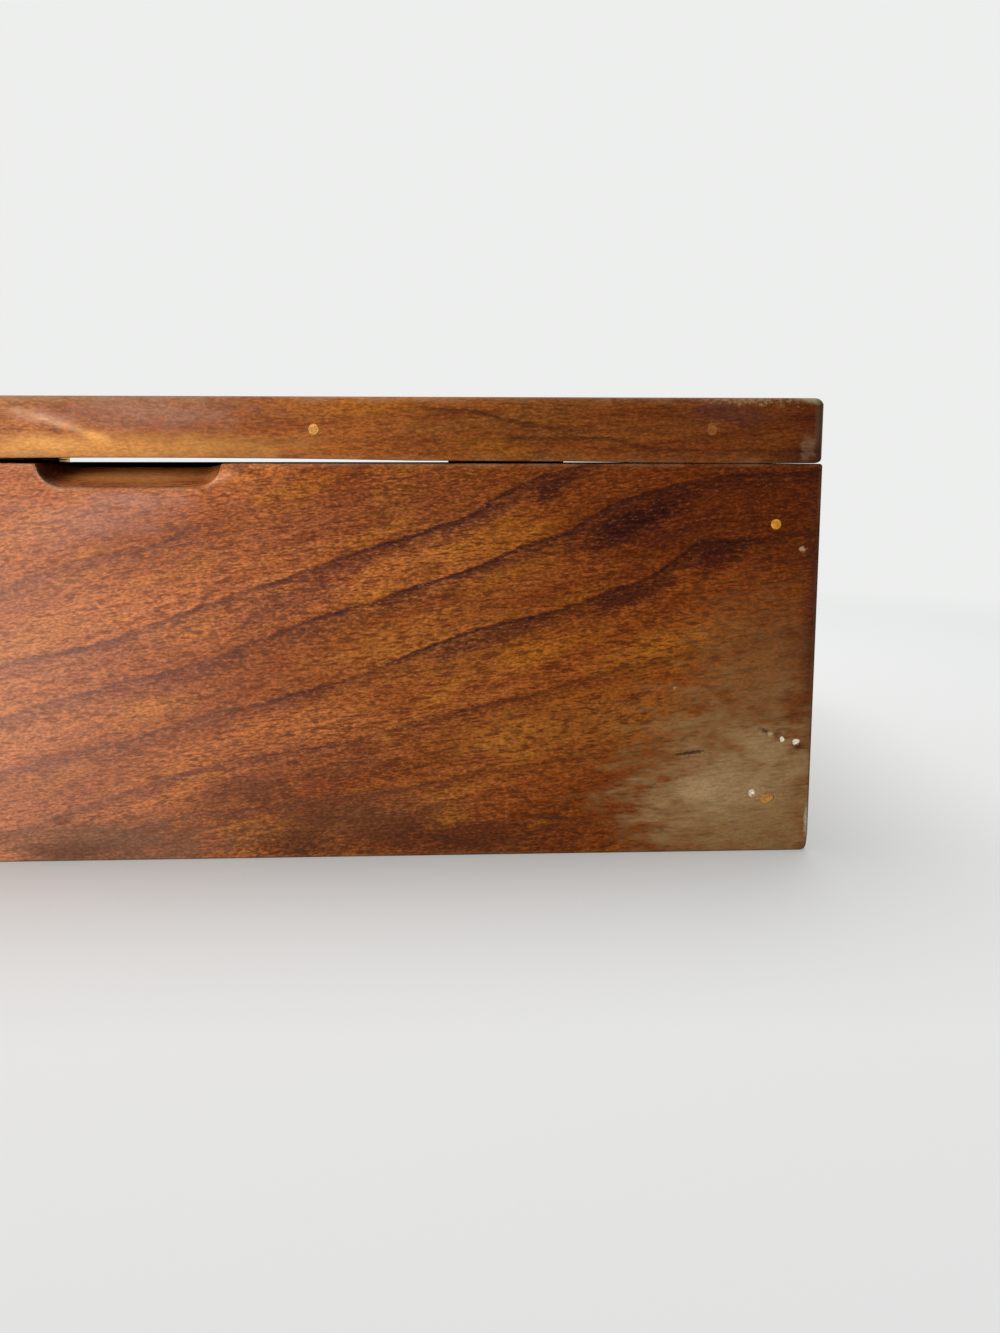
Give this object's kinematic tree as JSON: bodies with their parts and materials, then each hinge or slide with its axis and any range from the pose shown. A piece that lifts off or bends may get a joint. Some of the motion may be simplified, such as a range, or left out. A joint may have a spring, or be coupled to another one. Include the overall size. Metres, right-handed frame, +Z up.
{
  "type": "keepsake box",
  "caption": "Rectangular walnut box for papers and keepsakes, pegged board corners, finger scoop in the front, thick flat lid on brass butt hinges.",
  "frame": {"origin": "centre of the overall footprint, on the surface that the box stands on", "axes": "+Z up, +X to the right seen from the front, -Y towards the viewer at the finger scoop; the box is symmetric left to right across X = 0"},
  "size_m": [0.4104, 0.2852, 0.1413],
  "materials": {
    "body_wood": "oiled walnut, figured grain along the boards, worn and faded low on the right of the front",
    "lid_wood": "oiled walnut, a little greyer than the body",
    "peg_wood": "pale dowel end grain, sanded flush",
    "panel_wood": "plain veneered panel, matt",
    "hinge_brass": "brushed brass, slightly dulled",
    "screw_brass": "turned brass, slotted"
  },
  "bodies": {
    "box_body": {"front_board": "body_wood", "back_board": "body_wood", "left_side_board": "body_wood", "right_side_board": "body_wood", "bottom_panel": "panel_wood", "corner_peg_front_left_upper": "peg_wood", "corner_peg_front_left_lower": "peg_wood", "corner_peg_front_right_upper": "peg_wood", "corner_peg_front_right_lower": "peg_wood", "corner_peg_back_left_upper": "peg_wood", "corner_peg_back_left_lower": "peg_wood", "corner_peg_back_right_upper": "peg_wood", "corner_peg_back_right_lower": "peg_wood", "hinge_left_body_leaf": "hinge_brass", "hinge_left_pin": "hinge_brass", "hinge_left_body_screw_1": "screw_brass", "hinge_left_body_screw_2": "screw_brass", "hinge_left_body_screw_3": "screw_brass", "hinge_right_body_leaf": "hinge_brass", "hinge_right_pin": "hinge_brass", "hinge_right_body_screw_1": "screw_brass", "hinge_right_body_screw_2": "screw_brass", "hinge_right_body_screw_3": "screw_brass"},
    "lid": {"lid_front_rail": "lid_wood", "lid_back_rail": "lid_wood", "lid_board_left": "lid_wood", "lid_board_middle": "lid_wood", "lid_board_right": "lid_wood", "lid_peg_front_1": "peg_wood", "lid_peg_front_2": "peg_wood", "lid_peg_front_3": "peg_wood", "lid_peg_front_4": "peg_wood", "lid_peg_back_1": "peg_wood", "lid_peg_back_2": "peg_wood", "lid_peg_back_3": "peg_wood", "lid_peg_back_4": "peg_wood", "hinge_left_lid_leaf": "hinge_brass", "hinge_left_lid_screw_1": "screw_brass", "hinge_left_lid_screw_2": "screw_brass", "hinge_left_lid_screw_3": "screw_brass", "hinge_right_lid_leaf": "hinge_brass", "hinge_right_lid_screw_1": "screw_brass", "hinge_right_lid_screw_2": "screw_brass", "hinge_right_lid_screw_3": "screw_brass"}
  },
  "joints": [
    {"name": "lid_hinge", "type": "hinge", "parent": "box_body", "child": "lid", "pos_m": [0, 0.14015, 0.12115], "axis": [-1, 0, 0], "range_deg": [0, 180]}
  ]
}
